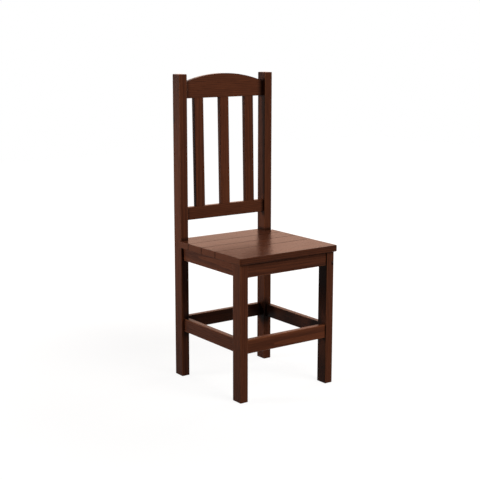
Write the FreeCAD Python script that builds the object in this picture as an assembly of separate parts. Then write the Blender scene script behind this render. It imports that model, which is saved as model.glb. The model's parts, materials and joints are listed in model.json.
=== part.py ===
import FreeCAD, Part
import math
import os
from FreeCAD import Vector

# A straight-legged wooden dining chair with an arched, slatted back, in millimetres.
# The chair faces -Y, left and right are as seen from its front (+X is right), and +Z is up.
# The origin is on the floor, under the middle of the chair's footprint.

# Whole chair
overall_height = 977.0
frame_width = 361.0  # over the outer faces of the legs
frame_depth = 369.5  # from the front legs' front faces to the rear legs' back faces
seat_height = 450.0  # floor to the top of the seat

# Legs
leg_width = 28.5
leg_depth = 42.0
leg_edge_radius = 3.0
leg_head_chamfer = 1.5  # round the tops of the rear legs
foot_chamfer = 1.0

# Seat, glued up from four boards that run across the chair
seat_thickness = 20.0
seat_side_overhang = 6.6
seat_front_overhang = 8.6
seat_back_setback = 1.0
seat_corner_radius = 6.0
seat_edge_radius = 2.5  # round the top
seat_under_chamfer = 1.0
front_board_width = 134.0
middle_board_width = 75.5
middle_boards = ("second", "third")
board_joint_groove = 1.5  # depth of the V along each glue joint
post_clearance = 0.3  # seat notch to rear leg

# Seat rails (aprons) and floor stretchers
rail_thickness = 18.5
rail_edge_radius = 2.0
apron_height = 44.0
stretcher_height = 43.0
stretcher_bottom = 150.5
front_rail_setback = 5.3  # behind the front legs' front faces
rear_rail_setback = 0.5  # ahead of the rear legs' back faces
side_rail_setback = 8.5  # in from each leg's left face: both side frames are the same piece

# Back: two rails and three slats in one leaning plane between the upright posts
back_lean = 1.2  # degrees
back_rail_thickness = 20.0
lower_rail_gap = 64.0  # from the seat up to the lower rail
lower_rail_height = 41.0
lower_rail_setback = 8.0  # behind the posts' front faces, at the rail's mid height
crest_end_height = 49.0
crest_rise = 27.0  # the arch's apex is level with the tops of the posts
slat_places = ("left", "middle", "right")
slat_width = 34.5
slat_thickness = 16.0
slat_pitch = 97.8
slat_setback = 1.0  # behind the rails' front faces
slat_edge_radius = 2.0

# Mortise and tenon joints
tenon_thickness = 9.0
tenon_shoulder = 5.0  # above and below each rail tenon
cross_tenon_length = 16.0  # rails that run left to right
side_tenon_length = 18.0  # rails that run front to back
slat_tenon_thickness = 8.0
slat_tenon_shoulder = 4.0
slat_tenon_length = 12.0
joint_clearance = 0.15  # mortise wider than tenon, on each side

# Loose tongues in the seat's glue joints, stopped short of the boards' ends
tongue_thickness = 6.0
tongue_width = 20.0
tongue_screw_gap = 8.0  # from a tongue's end to the seat screws' axes

# Corner blocks behind the seat rails, and their screws
block_height = 25.0
block_reach = 45.0  # along each rail, from the leg
block_leg_gap = 0.3
block_screw_offset = 21.0  # from the leg to the screw, along the rail
block_screw_grip = 14.0  # block thickness left under the head
block_screw_bite = 14.0  # depth in the rail
seat_screw_offset = 8.0  # from the leg's two inner faces
seat_screw_bite = 14.0  # depth in the seat
screw_diameter = 4.0
screw_head_size = 7.0  # across the flats of the hexagon
screw_head_height = 2.8
screw_pocket_clearance = 1.0  # round the head's corners, on each side
hole_clearance = 0.1

# Places worked out from the sizes above
seat_front_y = -(frame_depth + seat_front_overhang) / 2
leg_front_y = seat_front_y + seat_front_overhang
leg_back_y = leg_front_y + frame_depth
front_leg_back_y = leg_front_y + leg_depth
post_front_y = leg_back_y - leg_depth
outer_x = frame_width / 2
seat_half_width = outer_x + seat_side_overhang
inner_x = outer_x - leg_width
seat_underside = seat_height - seat_thickness
apron_bottom = seat_underside - apron_height
left_rail_x = -outer_x + side_rail_setback
right_rail_x = inner_x + side_rail_setback
front_rail_y = leg_front_y + front_rail_setback
rear_rail_y = leg_back_y - rear_rail_setback - rail_thickness
back_rail_y = post_front_y + lower_rail_setback
lower_rail_bottom = seat_height + lower_rail_gap
lower_rail_top = lower_rail_bottom + lower_rail_height
crest_bottom = overall_height - crest_rise - crest_end_height
lean_pivot = Vector(0, back_rail_y, lower_rail_bottom + lower_rail_height / 2)
screw_head_radius = screw_head_size / math.sqrt(3)
X_AXIS = Vector(1, 0, 0)
Y_AXIS = Vector(0, 1, 0)
Z_AXIS = Vector(0, 0, 1)


def box(low, high):
    return Part.makeBox(high.x - low.x, high.y - low.y, high.z - low.z, low)


def grown_box(low, high, margin):
    step = Vector(margin, margin, margin)
    return box(low - step, high + step)


def runs_along(edge, axis):
    line = edge.Vertexes[-1].Point - edge.Vertexes[0].Point
    return line.Length > 0 and line.cross(axis).Length < 1e-6 * line.Length


def bar(low, high, axis, radius):
    """A planed length of wood with its four long edges eased."""
    blank = box(low, high)
    return blank.makeFillet(radius, [edge for edge in blank.Edges if runs_along(edge, axis)])


def leaned(shape):
    return shape.rotated(lean_pivot, X_AXIS, -back_lean)


def prism(corners, travel):
    return Part.Face(Part.makePolygon(corners + corners[:1])).extrude(travel)


def cylinder(start, direction, radius, length):
    return Part.makeCylinder(radius, length, start, direction)


class Rail:
    """A rail between two shoulders: its body, and a tenon with a matching mortise at each end."""

    def __init__(self, body, tenon_boxes):
        self.solid = body.fuse([box(low, high) for low, high in tenon_boxes]).removeSplitter()
        self.mortises = [grown_box(low, high, joint_clearance) for low, high in tenon_boxes]

    def lean(self):
        self.solid = leaned(self.solid)
        self.mortises = [leaned(mortise) for mortise in self.mortises]


def cross_tenons(y_middle, bottom, top):
    """The tenon boxes at the left and right ends of a rail that runs left to right."""
    half = tenon_thickness / 2
    low_z = bottom + tenon_shoulder
    high_z = top - tenon_shoulder
    spans = ((-inner_x - cross_tenon_length, -inner_x), (inner_x, inner_x + cross_tenon_length))
    return [(Vector(a, y_middle - half, low_z), Vector(b, y_middle + half, high_z)) for a, b in spans]


def cross_rail(front_y, thickness, bottom, height):
    low = Vector(-inner_x, front_y, bottom)
    high = Vector(inner_x, front_y + thickness, bottom + height)
    body = bar(low, high, X_AXIS, rail_edge_radius)
    return Rail(body, cross_tenons(front_y + thickness / 2, bottom, bottom + height))


def side_rail(left_x, bottom, height):
    low = Vector(left_x, front_leg_back_y, bottom)
    high = Vector(left_x + rail_thickness, post_front_y, bottom + height)
    body = bar(low, high, Y_AXIS, rail_edge_radius)
    middle = left_x + rail_thickness / 2
    half = tenon_thickness / 2
    low_z = bottom + tenon_shoulder
    high_z = bottom + height - tenon_shoulder
    spans = ((front_leg_back_y - side_tenon_length, front_leg_back_y),
             (post_front_y, post_front_y + side_tenon_length))
    tenons = [(Vector(middle - half, a, low_z), Vector(middle + half, b, high_z)) for a, b in spans]
    return Rail(body, tenons)


def crest():
    """The top rail: a straight lower edge under a shallow circular arch."""
    end_z = crest_bottom + crest_end_height
    corners = [Vector(inner_x, back_rail_y, end_z), Vector(inner_x, back_rail_y, crest_bottom),
               Vector(-inner_x, back_rail_y, crest_bottom), Vector(-inner_x, back_rail_y, end_z)]
    edges = [Part.LineSegment(a, b).toShape() for a, b in zip(corners, corners[1:])]
    apex = Vector(0, back_rail_y, end_z + crest_rise)
    edges.append(Part.Arc(corners[-1], apex, corners[0]).toShape())
    blank = Part.Face(Part.Wire(edges)).extrude(Vector(0, back_rail_thickness, 0))
    long_edges = [edge for edge in blank.Edges if runs_along(edge, X_AXIS)]
    body = blank.makeFillet(rail_edge_radius, long_edges)
    return Rail(body, cross_tenons(back_rail_y + back_rail_thickness / 2, crest_bottom, end_z))


def slat(middle_x):
    """A back slat with a stub tenon at the foot and at the head, and the two mortises that take them."""
    front_y = back_rail_y + slat_setback
    low = Vector(middle_x - slat_width / 2, front_y, lower_rail_top)
    high = Vector(middle_x + slat_width / 2, front_y + slat_thickness, crest_bottom)
    body = bar(low, high, Z_AXIS, slat_edge_radius)
    half_width = slat_width / 2 - slat_tenon_shoulder
    middle_y = front_y + slat_thickness / 2
    half = slat_tenon_thickness / 2
    spans = ((lower_rail_top - slat_tenon_length, lower_rail_top),
             (crest_bottom, crest_bottom + slat_tenon_length))
    tenons = [(Vector(middle_x - half_width, middle_y - half, a),
               Vector(middle_x + half_width, middle_y + half, b)) for a, b in spans]
    return Rail(body, tenons)


def leg(left_x, front_y, height, mortises, head_chamfer):
    low = Vector(left_x, front_y, 0)
    high = Vector(left_x + leg_width, front_y + leg_depth, height)
    body = bar(low, high, Z_AXIS, leg_edge_radius)
    foot = [edge for edge in body.Edges if edge.BoundBox.ZMax < foot_chamfer]
    body = body.makeChamfer(foot_chamfer, foot)
    if head_chamfer > 0:
        head = [edge for edge in body.Edges if edge.BoundBox.ZMin > height - head_chamfer]
        body = body.makeChamfer(head_chamfer, head)
    return body.cut(mortises)


def seat_panel():
    """The whole seat before it is parted into boards: eased outside, notched round the two posts."""
    back_y = leg_back_y - seat_back_setback
    blank = box(Vector(-seat_half_width, seat_front_y, seat_underside),
                Vector(seat_half_width, back_y, seat_height))
    front_corners = [edge for edge in blank.Edges if runs_along(edge, Z_AXIS) and edge.BoundBox.YMax < 0]
    blank = blank.makeFillet(seat_corner_radius, front_corners)
    top_rim = [edge for edge in blank.Edges if edge.BoundBox.ZMin > seat_height - seat_edge_radius]
    blank = blank.makeFillet(seat_edge_radius, top_rim)
    under_rim = [edge for edge in blank.Edges if edge.BoundBox.ZMax < seat_underside + seat_under_chamfer]
    blank = blank.makeChamfer(seat_under_chamfer, under_rim)
    notch_x = inner_x - post_clearance
    notch_y = post_front_y - post_clearance
    notches = [box(Vector(a, notch_y, 0), Vector(b, leg_back_y, overall_height))
               for a, b in ((-seat_half_width, -notch_x), (notch_x, seat_half_width))]
    return blank.cut(notches)


def joint_grooves(joint_y):
    """The shallow V along a glue joint: across the top and down both ends of the boards."""
    depth = board_joint_groove
    top = [Vector(-seat_half_width, joint_y - depth, seat_height),
           Vector(-seat_half_width, joint_y, seat_height - depth),
           Vector(-seat_half_width, joint_y + depth, seat_height)]
    grooves = [prism(top, Vector(2 * seat_half_width, 0, 0))]
    for side in (-1, 1):
        end_x = side * seat_half_width
        end = [Vector(end_x, joint_y - depth, seat_underside),
               Vector(end_x - side * depth, joint_y, seat_underside),
               Vector(end_x, joint_y + depth, seat_underside)]
        grooves.append(prism(end, Vector(0, 0, seat_thickness)))
    return grooves


def polygon(sides, middle, direction, radius):
    """The corners of a regular polygon that faces along a direction, which is one of the axes."""
    across = Vector(direction.y, direction.z, direction.x)
    along = direction.cross(across)
    turns = [2 * math.pi * (index + 0.5) / sides for index in range(sides)]
    return [middle + (across * math.cos(turn) + along * math.sin(turn)) * radius for turn in turns]


def screw(head_seat, direction, length):
    """A hexagon-head screw whose head bears on head_seat and whose shank ends length further on."""
    top = head_seat - direction * screw_head_height
    head = prism(polygon(6, top, direction, screw_head_radius), direction * screw_head_height)
    shank = cylinder(head_seat, direction, screw_diameter / 2, length)
    return head.fuse(shank).removeSplitter()


def screw_hole(head_seat, direction, length):
    return cylinder(head_seat, direction, screw_diameter / 2 + hole_clearance, length + hole_clearance)


def screw_pocket(head_seat, direction):
    """The square pocket that takes a screw's head, open to the block's slanted face."""
    radius = (screw_head_radius + screw_pocket_clearance) * math.sqrt(2)
    return prism(polygon(4, head_seat, direction, radius), direction * -block_reach)


def corner_block(rail_x, rail_y, side, end):
    """A block between two seat rails and their leg: the solid, its rail screws and its seat screw.

    side is -1 on the left and 1 on the right, and end is -1 at the front and 1 at the rear.
    """
    leg_x = side * inner_x
    leg_y = front_leg_back_y if end < 0 else post_front_y
    clear_x = leg_x - side * block_leg_gap
    clear_y = leg_y - end * block_leg_gap
    bottom = seat_underside - block_height
    plan = [Vector(clear_x, rail_y, bottom), Vector(leg_x - side * block_reach, rail_y, bottom),
            Vector(rail_x, leg_y - end * block_reach, bottom), Vector(rail_x, clear_y, bottom),
            Vector(clear_x, clear_y, bottom)]
    solid = prism(plan, Vector(0, 0, block_height))
    mid_z = bottom + block_height / 2
    rail_length = block_screw_grip + block_screw_bite
    to_cross_rail = Y_AXIS * end
    to_side_rail = X_AXIS * side
    cross_seat = Vector(leg_x - side * block_screw_offset, rail_y, mid_z) - to_cross_rail * block_screw_grip
    side_seat = Vector(rail_x, leg_y - end * block_screw_offset, mid_z) - to_side_rail * block_screw_grip
    seat_seat = Vector(leg_x - side * seat_screw_offset, leg_y - end * seat_screw_offset, bottom)
    rail_screws = [(cross_seat, to_cross_rail, rail_length), (side_seat, to_side_rail, rail_length)]
    seat_screw = (seat_seat, Z_AXIS, block_height + seat_screw_bite)
    holes = [screw_hole(*place) for place in rail_screws + [seat_screw]]
    pockets = [screw_pocket(place, direction) for place, direction, length in rail_screws]
    return solid.cut(holes + pockets), rail_screws, seat_screw


def spread(count, pitch):
    return [(index - (count - 1) / 2) * pitch for index in range(count)]


nodes = {}

# Seat rails and stretchers
rails = {
    "front_apron": cross_rail(front_rail_y, rail_thickness, apron_bottom, apron_height),
    "rear_apron": cross_rail(rear_rail_y, rail_thickness, apron_bottom, apron_height),
    "side_apron_left": side_rail(left_rail_x, apron_bottom, apron_height),
    "side_apron_right": side_rail(right_rail_x, apron_bottom, apron_height),
    "front_stretcher": cross_rail(front_rail_y, rail_thickness, stretcher_bottom, stretcher_height),
    "rear_stretcher": cross_rail(rear_rail_y, rail_thickness, stretcher_bottom, stretcher_height),
    "side_stretcher_left": side_rail(left_rail_x, stretcher_bottom, stretcher_height),
    "side_stretcher_right": side_rail(right_rail_x, stretcher_bottom, stretcher_height),
}

# The leaning back
back_rails = {
    "crest_rail": crest(),
    "lower_back_rail": cross_rail(back_rail_y, back_rail_thickness, lower_rail_bottom, lower_rail_height),
}
slats = [slat(x) for x in spread(len(slat_places), slat_pitch)]
for piece in list(back_rails.values()) + slats:
    piece.lean()
slat_mortises = [mortise for piece in slats for mortise in piece.mortises]
for name, piece in back_rails.items():
    nodes[name] = piece.solid.cut(slat_mortises)
for place, piece in zip(slat_places, slats):
    nodes["back_slat_" + place] = piece.solid

# Legs, with every mortise that reaches into them
leg_joints = list(rails.values()) + list(back_rails.values())
leg_mortises = [mortise for piece in leg_joints for mortise in piece.mortises]
for place, left_x in (("left", -outer_x), ("right", inner_x)):
    nodes["front_leg_" + place] = leg(left_x, leg_front_y, seat_underside, leg_mortises, 0)
    nodes["rear_leg_" + place] = leg(left_x, post_front_y, overall_height, leg_mortises, leg_head_chamfer)

# Corner blocks and screws
left_face_x = left_rail_x + rail_thickness
right_face_x = right_rail_x
front_face_y = front_rail_y + rail_thickness
rear_face_y = rear_rail_y
blocks = {
    "corner_block_front_left": corner_block(left_face_x, front_face_y, -1, -1),
    "corner_block_front_right": corner_block(right_face_x, front_face_y, 1, -1),
    "corner_block_rear_left": corner_block(left_face_x, rear_face_y, -1, 1),
    "corner_block_rear_right": corner_block(right_face_x, rear_face_y, 1, 1),
}
rail_screws = []
seat_screws = []
for name, (solid, into_rails, into_seat) in blocks.items():
    nodes[name] = solid
    rail_screws += into_rails
    seat_screws.append(into_seat)
nodes["corner_block_screws"] = Part.makeCompound([screw(*place) for place in rail_screws])
nodes["seat_screws"] = Part.makeCompound([screw(*place) for place in seat_screws])
rail_holes = [screw_hole(*place) for place in rail_screws]
for name, piece in rails.items():
    nodes[name] = piece.solid.cut(rail_holes) if "apron" in name else piece.solid

# Seat boards and loose tongues
first_joint_y = seat_front_y + front_board_width
joints = [first_joint_y + index * middle_board_width for index in range(len(middle_boards) + 1)]
tongue_end_x = inner_x - seat_screw_offset - tongue_screw_gap
tongue_half = Vector(tongue_end_x, tongue_width / 2, tongue_thickness / 2)
tongue_middles = [Vector(0, y, seat_height - seat_thickness / 2) for y in joints]
tongues = [(middle - tongue_half, middle + tongue_half) for middle in tongue_middles]
nodes["seat_tongues"] = Part.makeCompound([box(low, high) for low, high in tongues])
tongue_slots = [grown_box(low, high, joint_clearance) for low, high in tongues]
grooves = [groove for y in joints for groove in joint_grooves(y)]
seat_cuts = grooves + tongue_slots + [screw_hole(*place) for place in seat_screws]
panel = seat_panel().cut(seat_cuts)
bounds = [seat_front_y] + joints + [leg_back_y]
board_places = ("front",) + middle_boards + ("rear",)
for place, low_y, high_y in zip(board_places, bounds, bounds[1:]):
    strip = box(Vector(-seat_half_width, low_y, seat_underside),
                Vector(seat_half_width, high_y, seat_height))
    nodes["seat_board_" + place] = panel.common(strip)

os.makedirs("parts", exist_ok=True)
for name, shape in nodes.items():
    shape.exportStep("parts/" + name + ".step")
    print(name, "solids", len(shape.Solids), "valid", shape.isValid(), "volume", round(shape.Volume))
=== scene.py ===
# A slat-backed wooden dining chair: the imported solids, finished in stained and lacquered hardwood.

import bpy
import json
import math
import random
from mathutils import Euler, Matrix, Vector


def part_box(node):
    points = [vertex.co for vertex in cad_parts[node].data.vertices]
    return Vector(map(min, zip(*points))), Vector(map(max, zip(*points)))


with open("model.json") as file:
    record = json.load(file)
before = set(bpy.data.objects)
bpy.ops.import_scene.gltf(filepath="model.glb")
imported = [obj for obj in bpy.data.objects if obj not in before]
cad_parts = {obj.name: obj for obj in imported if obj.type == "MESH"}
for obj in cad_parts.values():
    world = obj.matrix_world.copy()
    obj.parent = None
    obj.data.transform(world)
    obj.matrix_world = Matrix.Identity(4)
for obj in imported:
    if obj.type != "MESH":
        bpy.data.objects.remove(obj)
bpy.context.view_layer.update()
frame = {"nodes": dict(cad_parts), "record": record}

mm = 0.001                  # a millimetre in the scene's metres

# Sizes of the figure in the wood and the zinc
ring_spacing = 5.5 * mm     # growth rings; drawn wider than the real 2 to 3 mm, which is too fine to show
ring_waviness = 45 * mm     # how far apart the wanderings of a ring are
fibre_width = 2.2 * mm      # fibre streaks; drawn coarser than the real 0.3 mm, which is too fine to show
pore_width = 1.1 * mm       # open pores; drawn coarser than the real 0.2 mm, which is too fine to show
stain_patch = 60 * mm       # how wide the patches are where the stain took lighter or darker
grain_depth = 0.12 * mm     # how deep the open grain is
pith_nearest = 45 * mm      # how far from a piece the heart of its tree lay
pith_farthest = 110 * mm
zinc_cloud = 2.0 * mm       # how wide the clouds in the zinc are

# How the figure runs, and how many finer layers its noise has
grain_stretch = 0.045       # every figure is this much slower along the grain than across it
grain_tilt = 0.35           # the most that a piece was cut askew to its tree, in radians
hardwood_ring_wander = 3.0  # how far a ring strays from a circle
pine_ring_wander = 2.0
pine_grain = "X"            # the way that the grain of the hidden pine pieces runs
ring_layers = 2.0
fibre_layers = 3.0
fibre_raggedness = 0.6      # how strong the finer layers of the hardwood's fibres are
patch_layers = 2.0
pore_layers = 1.0
zinc_layers = 3.0

# How much of the figure shows in the stain
ring_share = 0.5
fibre_share = 1.2
patch_share = 1.0
mean_tone = 0.40            # between the dark stain, 0, and the light stain, 1
piece_tones = {             # how much lighter or darker than the rest a piece came out
    "crest_rail": 0.1,
    "front_leg_left": 0.08,
    "front_apron": -0.08,
    "side_apron_left": 0.05,
    "side_apron_right": 0.2,
    "front_stretcher": 0.15,
    "seat_board_front": -0.05,
    "seat_board_second": -0.1,
    "seat_board_third": -0.25,
    "seat_board_rear": -0.25,
}
pore_range = (0.60, 0.72)   # the part of the pores' noise over which a pore opens
pore_depth = 0.45
end_grain_range = (0.6, 0.95)   # how squarely a face must cross the grain to be end grain
end_grain_depth = 0.55

# How the surfaces shine
satin_gloss = (0.25, 0.34)  # roughness, from the smooth fibres to the open ones
gloss_range = (0.3, 0.7)    # the part of the fibres' noise that the gloss follows
lacquer_index = 1.5         # index of refraction
lacquer_shine = 0.029       # little shine face on, and a strong one at a low angle
lacquer_relief = 0.25       # the share of the grain's depth that shows through the lacquer
pine_relief = 0.3
pine_roughness = 0.75
zinc_gloss = (0.28, 0.45)
floor_roughness = 0.9

# Where marks lie on the stain
edge_core = 1.65 * mm       # the eased edges are rubbed palest up to this far in,
edge_reach = 3.0 * mm       # and not at all from here on
joint_line = 1.7 * mm       # how far from a glue joint of the seat the stain has gathered
face_skin = 1.0 * mm        # how far in from a face the painted shade on it reaches
corner_inset = 12 * mm      # the painted shade in an inside corner is deepest round a place this far from the leg, stays so up to this far from there, and is gone at this distance
corner_core = 30 * mm       # stays so up to this far from there,
corner_reach = 60 * mm      # and is gone at this distance
rail_end_reach = {"crest_rail": 26 * mm, "lower_back_rail": 14 * mm}   # painted shade in the corners where the back rails meet the posts
post_foot_core = 3.0 * mm   # the painted shade where a post meets the seat is deepest up to this far above it, and is gone at this distance
post_foot_reach = 14 * mm   # and is gone at this distance
post_knot_height = 833 * mm
post_knot_radius = 11 * mm
leg_knot_height = 392 * mm
leg_knot_radius = 9 * mm
knot_inset = 4 * mm         # how far each pin knot lies from the nearest edge of its face
knot_core = 0.5             # the share of a knot's radius that is fully dark

# How deep each mark is, from 0 to 1; the marks on inward faces, the slats' sides, the inside corners, the
# rail ends and the posts' feet are painted shade
rubbed_depth = 0.35
joint_depth = 0.85
inward_face_depth = 0.6
slat_side_depth = 0.4
corner_depth = 0.95
post_foot_depth = 0.75
knot_depth = 0.9

# Colours
stain_light = "#5F331F"
stain_dark = "#381C11"
stain_in_pores = "#1E0D07"
stain_on_end_grain = "#5A3220"
# the dark of the seat's joints, and also the painted shade on inward faces, slat sides, inside corners,
# rail ends and posts' feet
joint_dark_and_painted_shade = "#120704"
stain_in_knots = "#150905"
stain_rubbed = "#7A4A30"
bare_light = "#CFAE80"
bare_dark = "#A9814F"
zinc_bright = "#C9CCCE"
zinc_dull = "#A4A8AB"
floor_grey = "#6A6866"
white = "#FFFFFF"
back_light_tint = "#FFA564"


def linear(hex_colour):
    """An sRGB hex value as linear red, green, blue and alpha."""
    parts = [int(hex_colour[place:place + 2], 16) / 255 for place in (1, 3, 5)]
    return tuple(part / 12.92 if part <= 0.04045 else ((part + 0.055) / 1.055) ** 2.4
                 for part in parts) + (1.0,)


def add_node(tree, kind, inputs, **settings):
    """A node with its settings, and its inputs either linked from a socket or set to a value."""
    node = tree.nodes.new(kind)
    for name, value in settings.items():
        setattr(node, name, value)
    for name, value in inputs.items():
        if isinstance(value, bpy.types.NodeSocket):
            tree.links.new(value, node.inputs[name])
        else:
            node.inputs[name].default_value = value
    return node


def new_material(name):
    """A new material, its node tree and its Principled shader."""
    material = bpy.data.materials.new(name)
    material.use_nodes = True
    return material, material.node_tree, material.node_tree.nodes["Principled BSDF"]


def noise_scale(size):
    """A noise texture's scale for features of this size."""
    return 1 / size


def ring_scale(spacing):
    """A wave texture's scale for rings this far apart: it fits 20 radians into a unit."""
    return math.tau / 20 / spacing


def grain_axis(node_name):
    """The axis along which a piece is longest, which is the way that its grain runs."""
    low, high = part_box(node_name)
    sides = [far - near for near, far in zip(low, high)]
    return "XYZ"[sides.index(max(sides))]


# The turn that brings each grain axis to Z
grain_turns = {"X": (0, -math.pi / 2, 0), "Y": (math.pi / 2, 0, 0), "Z": (0, 0, 0)}


def wood_space(tree, place, node_name, grain):
    """Coordinates moved so that Z is the heart of the tree that the piece was cut from."""
    rng = random.Random(node_name)
    low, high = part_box(node_name)
    middle = (Vector(low) + Vector(high)) / 2
    tilt = Vector((rng.uniform(-grain_tilt, grain_tilt), rng.uniform(-grain_tilt, grain_tilt), 0))
    turn = Euler(Vector(grain_turns[grain]) + tilt)
    squeeze = Vector([grain_stretch if axis == grain else 1.0 for axis in "XYZ"])
    away = rng.uniform(pith_nearest, pith_farthest)
    side = rng.uniform(0, math.tau)
    heart = Vector((away * math.cos(side), away * math.sin(side), rng.uniform(-1, 1)))
    mapping = add_node(tree, "ShaderNodeMapping", {
        "Vector": place, "Location": heart - turn.to_matrix() @ (middle * squeeze),
        "Rotation": turn, "Scale": squeeze})
    return mapping.outputs["Vector"]


def growth_rings(tree, wood, wander):
    """Rings round the heart of the tree."""
    rings = add_node(tree, "ShaderNodeTexWave", {
        "Vector": wood, "Scale": ring_scale(ring_spacing), "Distortion": wander, "Detail": ring_layers,
        "Detail Scale": noise_scale(ring_waviness) / ring_scale(ring_spacing)},
        wave_type="RINGS", rings_direction="Z", wave_profile="SAW")
    return rings.outputs["Fac"]


# The inside corners of legs and stretchers and the feet of the posts, where shade is painted, folded onto
# those at the rear right
front_leg_low, front_leg_high = [Vector(corner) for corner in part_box("front_leg_right")]
rear_leg_low, rear_leg_high = [Vector(corner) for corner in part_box("rear_leg_right")]
stretcher_low, stretcher_high = [Vector(corner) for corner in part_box("rear_stretcher")]
frame_middle = Vector((0, (front_leg_high.y + rear_leg_low.y) / 2, 0))
inside_corner = rear_leg_low - frame_middle - Vector((corner_inset, corner_inset, 0))
inside_corner.z = (stretcher_low.z + stretcher_high.z) / 2
outer_x = abs(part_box("side_stretcher_left")[0][0])
outer_y = abs(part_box("front_stretcher")[0][1] - frame_middle.y)
stretcher_limits = {"X": outer_x - face_skin, "Y": outer_y - face_skin}
post_limits = {"X": rear_leg_high.x - face_skin, "Y": rear_leg_high.y - frame_middle.y - face_skin}
seat_top = Vector((0, 0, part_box("seat_board_rear")[1][2]))

# The pin knots' places and sizes: on the left post's outer face and on the right front leg's front face
left_post_low, left_post_high = [Vector(corner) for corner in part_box("rear_leg_left")]
post_knot = Vector((left_post_low.x, left_post_high.y - knot_inset, post_knot_height))
leg_knot = Vector((front_leg_high.x - knot_inset, front_leg_low.y, leg_knot_height))
pin_knots = {
    "rear_leg_left": (post_knot, post_knot_radius),
    "front_leg_right": (leg_knot, leg_knot_radius),
}


def fold(tree, place, middle):
    """Coordinates from a middle, the same on both sides of it."""
    offset = add_node(tree, "ShaderNodeVectorMath", {0: place, 1: middle}, operation="SUBTRACT")
    folded = add_node(tree, "ShaderNodeVectorMath", {0: offset.outputs[0]}, operation="ABSOLUTE")
    return folded.outputs[0]


def spot_mask(tree, place, centre, core, reach, depth, counted=(1, 1, 1)):
    """A mask that is deepest in a core and gone at its reach, by the distance along the counted axes."""
    flat = add_node(tree, "ShaderNodeVectorMath", {0: place, 1: counted}, operation="MULTIPLY")
    distance = add_node(tree, "ShaderNodeVectorMath", {0: flat.outputs[0], 1: centre}, operation="DISTANCE")
    mask = add_node(tree, "ShaderNodeMapRange", {
        "Value": distance.outputs["Value"], "From Min": core, "From Max": reach,
        "To Min": depth, "To Max": 0.0}, interpolation_type="SMOOTHSTEP")
    return mask.outputs[0]


def mask_near_face(tree, place, axis, where, reach, depth):
    """A mask on whatever lies within reach of a face across an axis."""
    parts = add_node(tree, "ShaderNodeSeparateXYZ", {"Vector": place})
    near = add_node(tree, "ShaderNodeMath", {
        0: parts.outputs[axis], 1: where, 2: reach}, operation="COMPARE")
    mask = add_node(tree, "ShaderNodeMath", {0: near.outputs[0], 1: depth}, operation="MULTIPLY")
    return mask.outputs[0]


def off_outer_faces(tree, mask, folded, limits):
    """A mask cut back to what lies nearer the middle than the limits."""
    parts = add_node(tree, "ShaderNodeSeparateXYZ", {"Vector": folded})
    for axis, limit in limits.items():
        inside = add_node(tree, "ShaderNodeMath", {0: parts.outputs[axis], 1: limit}, operation="LESS_THAN")
        masked = add_node(tree, "ShaderNodeMath", {0: mask, 1: inside.outputs[0]}, operation="MULTIPLY")
        mask = masked.outputs[0]
    return mask


def painted_shade_in_inside_corners(tree, place):
    """A mask of painted shade in the four inside corners of legs and stretchers."""
    folded = fold(tree, place, frame_middle)
    mask = spot_mask(tree, folded, inside_corner, corner_core, corner_reach, corner_depth)
    return off_outer_faces(tree, mask, folded, stretcher_limits)


def painted_shade_at_post_feet(tree, place):
    """A mask of painted shade where the posts stand against the seat."""
    folded = fold(tree, place, frame_middle)
    mask = spot_mask(tree, folded, seat_top, post_foot_core, post_foot_reach, post_foot_depth, (0, 0, 1))
    return off_outer_faces(tree, mask, folded, post_limits)


def rubbed_edges(tree, place, low, high, grain):
    """A mask on the four long edges of a piece."""
    middle = (low + high) / 2
    inset = add_node(tree, "ShaderNodeVectorMath", {
        0: high - middle, 1: fold(tree, place, middle)}, operation="SUBTRACT")
    insets = add_node(tree, "ShaderNodeSeparateXYZ", {"Vector": inset.outputs[0]})
    first, second = [insets.outputs[axis] for axis in "XYZ" if axis != grain]
    from_edge = add_node(tree, "ShaderNodeMath", {0: first, 1: second}, operation="ADD")
    mask = add_node(tree, "ShaderNodeMapRange", {
        "Value": from_edge.outputs[0], "From Min": edge_core, "From Max": edge_reach,
        "To Min": rubbed_depth, "To Max": 0.0})
    return mask.outputs[0]


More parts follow.
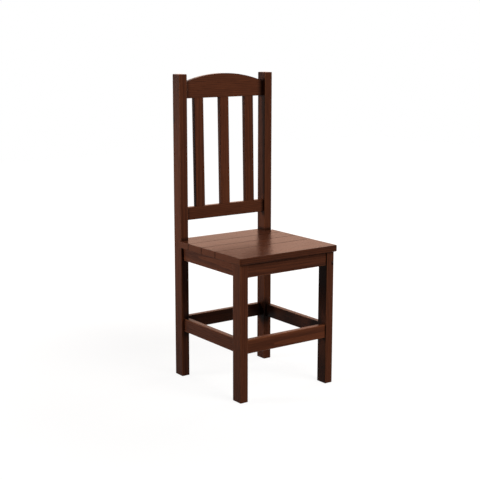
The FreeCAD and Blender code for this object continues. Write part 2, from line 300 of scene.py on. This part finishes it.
def marks_and_painted_shade(tree, node_name, grain, place):
    """The masks on a piece, each with its colour, in the order in which they lie on each other: rubbed
    edges, dark seat joints and pin knots, and painted shade on inward faces, slat sides, inside corners,
    rail ends and posts' feet.
    """
    low, high = [Vector(corner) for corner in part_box(node_name)]
    in_floor_frame = "leg" in node_name or "stretcher" in node_name
    marks = []
    if in_floor_frame or "apron" in node_name:
        marks.append((rubbed_edges(tree, place, low, high, grain), stain_rubbed))
    dark_faces = []
    # Painted shade on the faces of the front legs and stretchers that turn inward
    if "front_leg" in node_name or "stretcher" in node_name:
        for index, axis in enumerate("XY"):
            if axis != grain:
                inward = min(low[index], high[index], key=abs)
                dark_faces.append((axis, inward, face_skin, inward_face_depth))
    # Painted shade on both sides of each back slat
    if "back_slat" in node_name:
        for side in (low, high):
            dark_faces.append(("X", side.x, face_skin, slat_side_depth))
    if "seat_board" in node_name:
        joint_sides = {"seat_board_front": (high,), "seat_board_rear": (low,)}
        for side in joint_sides.get(node_name, (low, high)):
            dark_faces.append(("Y", side.y, joint_line, joint_depth))
    for face in dark_faces:
        marks.append((mask_near_face(tree, place, *face), joint_dark_and_painted_shade))
    # Painted shade in the inside corners of legs and stretchers
    if in_floor_frame:
        marks.append((painted_shade_in_inside_corners(tree, place), joint_dark_and_painted_shade))
    # Painted shade at the posts' feet, where they meet the seat
    if "rear_leg" in node_name:
        marks.append((painted_shade_at_post_feet(tree, place), joint_dark_and_painted_shade))
    # Painted shade in the corners where the crest rail and lower back rail meet the posts
    if node_name in rail_end_reach:
        rail_corner = Vector((rear_leg_low.x, low.y, 0))
        gathered = spot_mask(tree, fold(tree, place, Vector()), rail_corner,
                              0, rail_end_reach[node_name], corner_depth, (1, 1, 0))
        marks.append((gathered, joint_dark_and_painted_shade))
    if node_name in pin_knots:
        knot, radius = pin_knots[node_name]
        dark = spot_mask(tree, place, knot, knot_core * radius, radius, knot_depth)
        marks.append((dark, stain_in_knots))
    return marks


# Stained, satin-lacquered hardwood: a deep red-brown that goes lighter and darker along the grain in
# fine streaks, with dark open pores, an even end grain, and a soft shine at a low angle.
def stained_hardwood(node_name):
    grain = grain_axis(node_name)
    material, tree, shader = new_material("stained_lacquered_hardwood_" + node_name)
    coordinates = add_node(tree, "ShaderNodeTexCoord", {})
    wood = wood_space(tree, coordinates.outputs["Object"], node_name, grain)
    rings = growth_rings(tree, wood, hardwood_ring_wander)
    fibres = add_node(tree, "ShaderNodeTexNoise", {
        "Vector": wood, "Scale": noise_scale(fibre_width), "Detail": fibre_layers,
        "Roughness": fibre_raggedness})
    patches = add_node(tree, "ShaderNodeTexNoise", {
        "Vector": wood, "Scale": noise_scale(stain_patch), "Detail": patch_layers})
    pores = add_node(tree, "ShaderNodeTexNoise", {
        "Vector": wood, "Scale": noise_scale(pore_width), "Detail": pore_layers})
    pore_mask = add_node(tree, "ShaderNodeMapRange", {
        "Value": pores.outputs["Fac"], "From Min": pore_range[0], "From Max": pore_range[1],
        "To Max": pore_depth})
    piece_tone = mean_tone + piece_tones.get(node_name, 0.0)
    base_tone = piece_tone - (ring_share + fibre_share + patch_share) / 2
    ring_part = add_node(tree, "ShaderNodeMath", {
        0: rings, 1: ring_share, 2: base_tone}, operation="MULTIPLY_ADD")
    fibre_part = add_node(tree, "ShaderNodeMath", {
        0: fibres.outputs["Fac"], 1: fibre_share, 2: ring_part.outputs[0]}, operation="MULTIPLY_ADD")
    streak = add_node(tree, "ShaderNodeMath", {
        0: patches.outputs["Fac"], 1: patch_share, 2: fibre_part.outputs[0]}, operation="MULTIPLY_ADD")
    stain = add_node(tree, "ShaderNodeMix", {
        0: streak.outputs[0], 6: linear(stain_dark), 7: linear(stain_light)}, data_type="RGBA")
    pored = add_node(tree, "ShaderNodeMix", {
        0: pore_mask.outputs[0], 6: stain.outputs[2], 7: linear(stain_in_pores)}, data_type="RGBA")
    facing = add_node(tree, "ShaderNodeSeparateXYZ", {"Vector": coordinates.outputs["Normal"]})
    along = add_node(tree, "ShaderNodeMath", {0: facing.outputs[grain]}, operation="ABSOLUTE")
    end_mask = add_node(tree, "ShaderNodeMapRange", {
        "Value": along.outputs[0], "From Min": end_grain_range[0], "From Max": end_grain_range[1],
        "To Max": end_grain_depth})
    ended = add_node(tree, "ShaderNodeMix", {
        0: end_mask.outputs[0], 6: pored.outputs[2], 7: linear(stain_on_end_grain)}, data_type="RGBA")
    colour = ended.outputs[2]
    # The marks go on in turn, the painted shade among them
    for mask, tint in marks_and_painted_shade(tree, node_name, grain, coordinates.outputs["Object"]):
        marked = add_node(tree, "ShaderNodeMix", {0: mask, 6: colour, 7: linear(tint)}, data_type="RGBA")
        colour = marked.outputs[2]
    gloss = add_node(tree, "ShaderNodeMapRange", {
        "Value": fibres.outputs["Fac"], "From Min": gloss_range[0], "From Max": gloss_range[1],
        "To Min": satin_gloss[0], "To Max": satin_gloss[1]})
    relief = add_node(tree, "ShaderNodeMath", {
        0: fibres.outputs["Fac"], 1: pore_mask.outputs[0]}, operation="SUBTRACT")
    bump = add_node(tree, "ShaderNodeBump", {
        "Height": relief.outputs[0], "Strength": lacquer_relief, "Distance": grain_depth})
    tree.links.new(colour, shader.inputs["Base Color"])
    tree.links.new(gloss.outputs[0], shader.inputs["Roughness"])
    tree.links.new(bump.outputs[0], shader.inputs["Normal"])
    shader.inputs["IOR"].default_value = lacquer_index
    shader.inputs["Specular IOR Level"].default_value = lacquer_shine
    return material


# Planed, unfinished pine: pale straw with darker growth rings and a dry surface, under the seat only.
def planed_pine(node_name):
    material, tree, shader = new_material("planed_pine_" + node_name)
    coordinates = add_node(tree, "ShaderNodeTexCoord", {})
    wood = wood_space(tree, coordinates.outputs["Object"], node_name, pine_grain)
    rings = growth_rings(tree, wood, pine_ring_wander)
    fibres = add_node(tree, "ShaderNodeTexNoise", {
        "Vector": wood, "Scale": noise_scale(fibre_width), "Detail": fibre_layers})
    streak = add_node(tree, "ShaderNodeMath", {0: rings, 1: fibres.outputs["Fac"]}, operation="MULTIPLY")
    colour = add_node(tree, "ShaderNodeMix", {
        0: streak.outputs[0], 6: linear(bare_light), 7: linear(bare_dark)}, data_type="RGBA")
    bump = add_node(tree, "ShaderNodeBump", {
        "Height": fibres.outputs["Fac"], "Strength": pine_relief, "Distance": grain_depth})
    tree.links.new(colour.outputs[2], shader.inputs["Base Color"])
    tree.links.new(bump.outputs[0], shader.inputs["Normal"])
    shader.inputs["Roughness"].default_value = pine_roughness
    return material


# Zinc-plated steel: a cool, slightly cloudy grey metal with a soft shine.
def zinc_plated_steel():
    material, tree, shader = new_material("zinc_plated_steel")
    coordinates = add_node(tree, "ShaderNodeTexCoord", {})
    clouds = add_node(tree, "ShaderNodeTexNoise", {
        "Vector": coordinates.outputs["Object"], "Scale": noise_scale(zinc_cloud), "Detail": zinc_layers})
    colour = add_node(tree, "ShaderNodeMix", {
        0: clouds.outputs["Fac"], 6: linear(zinc_bright), 7: linear(zinc_dull)}, data_type="RGBA")
    gloss = add_node(tree, "ShaderNodeMapRange", {
        "Value": clouds.outputs["Fac"], "To Min": zinc_gloss[0], "To Max": zinc_gloss[1]})
    tree.links.new(colour.outputs[2], shader.inputs["Base Color"])
    tree.links.new(gloss.outputs[0], shader.inputs["Roughness"])
    shader.inputs["Metallic"].default_value = 1.0
    return material


# Each piece's finish, by its material in the record
screw_steel = zinc_plated_steel()
for subpart in frame["record"]["subparts"]:
    node_name = subpart["node"]
    if subpart["material_slot"] == "stained_wood":
        finish = stained_hardwood(node_name)
    elif subpart["material_slot"] == "bare_wood":
        finish = planed_pine(node_name)
    else:
        finish = screw_steel
    slots = frame["nodes"][node_name].data.materials
    slots.clear()
    slots.append(finish)


def seen_directly(tree):
    """1 for what the eye sees, also in a reflection or through glass, and 0 for light on its way."""
    path = add_node(tree, "ShaderNodeLightPath", {})
    mirrored = add_node(tree, "ShaderNodeMath", {
        0: path.outputs["Is Camera Ray"], 1: path.outputs["Is Glossy Ray"]}, operation="MAXIMUM")
    seen = add_node(tree, "ShaderNodeMath", {
        0: mirrored.outputs[0], 1: path.outputs["Is Transmission Ray"]}, operation="MAXIMUM")
    return seen.outputs[0]


# The floor, in metres: white to the eye and to reflections, grey to the light that bounces off it. Its own
# white is a little lower near the chair, so that the shadow shows.
floor_half_width = 6.0
shadow_radius = 0.5
white_radius = 1.6
white_near_chair = 0.88
bpy.ops.object.select_all(action="DESELECT")
bpy.ops.mesh.primitive_plane_add(size=2 * floor_half_width, location=(0, 0, 0))
floor = bpy.context.object
floor.name = "studio_floor"
floor_paint, tree, shader = new_material("matt_studio_floor")
coordinates = add_node(tree, "ShaderNodeTexCoord", {})
from_chair = add_node(tree, "ShaderNodeVectorMath", {0: coordinates.outputs["Object"]}, operation="LENGTH")
whiteness = add_node(tree, "ShaderNodeMapRange", {
    "Value": from_chair.outputs["Value"], "From Min": shadow_radius, "From Max": white_radius,
    "To Min": white_near_chair, "To Max": 1.0}, interpolation_type="SMOOTHSTEP")
glow = add_node(tree, "ShaderNodeMath", {
    0: seen_directly(tree), 1: whiteness.outputs[0]}, operation="MULTIPLY")
tree.links.new(glow.outputs[0], shader.inputs["Emission Strength"])
shader.inputs["Emission Color"].default_value = linear(white)
shader.inputs["Base Color"].default_value = linear(floor_grey)
shader.inputs["Roughness"].default_value = floor_roughness
shader.inputs["Specular IOR Level"].default_value = 0.0
floor.data.materials.append(floor_paint)

# The room: white to the eye and to reflections, and a faint even light
room_light = 0.06
room = bpy.data.worlds.new("studio_room")
bpy.context.scene.world = room
room.use_nodes = True
tree = room.node_tree
strength = add_node(tree, "ShaderNodeMapRange", {
    "Value": seen_directly(tree), "To Min": room_light, "To Max": 1.0})
tree.links.new(strength.outputs[0], tree.nodes["Background"].inputs["Strength"])
tree.nodes["Background"].inputs["Color"].default_value = linear(white)

# Soft boxes round the chair: where each stands, its size in metres and the light that it gives a
# surface turned to it, where 1 shows a colour as it is written
left_side = Vector((-0.18, 0.04, 0.54))


def soft_box(name, bearing, height, distance, size, level, tint=white, aim=seat_top, spread=180):
    """A rectangular lamp at a bearing from the chair, in degrees from 0 in front to 90 on its right.

    A narrow spread gathers the light in its beam, so that lamp needs less energy for its level.
    """
    angle = math.radians(bearing)
    place = Vector((distance * math.sin(angle), -distance * math.cos(angle), height))
    lamp = bpy.data.lights.new(name, "AREA")
    lamp.shape = "RECTANGLE"
    lamp.size, lamp.size_y = size
    lamp.spread = math.radians(spread)
    beam = lamp.spread / 2
    gathered = math.tan(beam) / (math.tan(beam) - beam)
    reach = (place - aim).length
    lamp.energy = level * math.pi ** 2 * reach ** 2 / gathered
    lamp.color = linear(tint)[:3]
    box = bpy.data.objects.new(name, lamp)
    box.location = place
    box.rotation_euler = (aim - place).to_track_quat("-Z", "Y").to_euler()
    box.visible_camera = False
    bpy.context.scene.collection.objects.link(box)


soft_box("front_soft_box", bearing=12, height=3.0, distance=3.5, size=(2.6, 3.6), level=1.07)
soft_box("left_soft_box", bearing=244, height=1.1, distance=2.2, size=(0.5, 0.7), level=1.65,
         aim=left_side, spread=38)
soft_box("right_soft_box", bearing=98, height=0.75, distance=2.8, size=(1.2, 1.2), level=0.60)
soft_box("back_soft_box", bearing=185, height=0.9, distance=2.8, size=(1.4, 1.2), level=0.40)
soft_box("warm_back_panel", bearing=144, height=1.05, distance=2.6, size=(1.1, 1.5), level=0.12,
         tint=back_light_tint)

# The camera at the photograph's place, for 480 by 480 pixels: metres, degrees, and the lens in millimetres
camera_place = Vector((-1.9822, -2.7111, 1.1044))
camera_yaw = 35.417
camera_pitch = 10.909
focal_length = 80.712
sensor_width = 36
camera_data = bpy.data.cameras.new("camera")
camera_data.sensor_fit = "HORIZONTAL"
camera_data.sensor_width = sensor_width
camera_data.lens = focal_length
camera = bpy.data.objects.new("camera", camera_data)
camera.location = camera_place
camera.rotation_euler = (math.radians(90 - camera_pitch), 0, -math.radians(camera_yaw))
bpy.context.scene.collection.objects.link(camera)
bpy.context.scene.camera = camera
bpy.context.scene.view_settings.view_transform = "Standard"
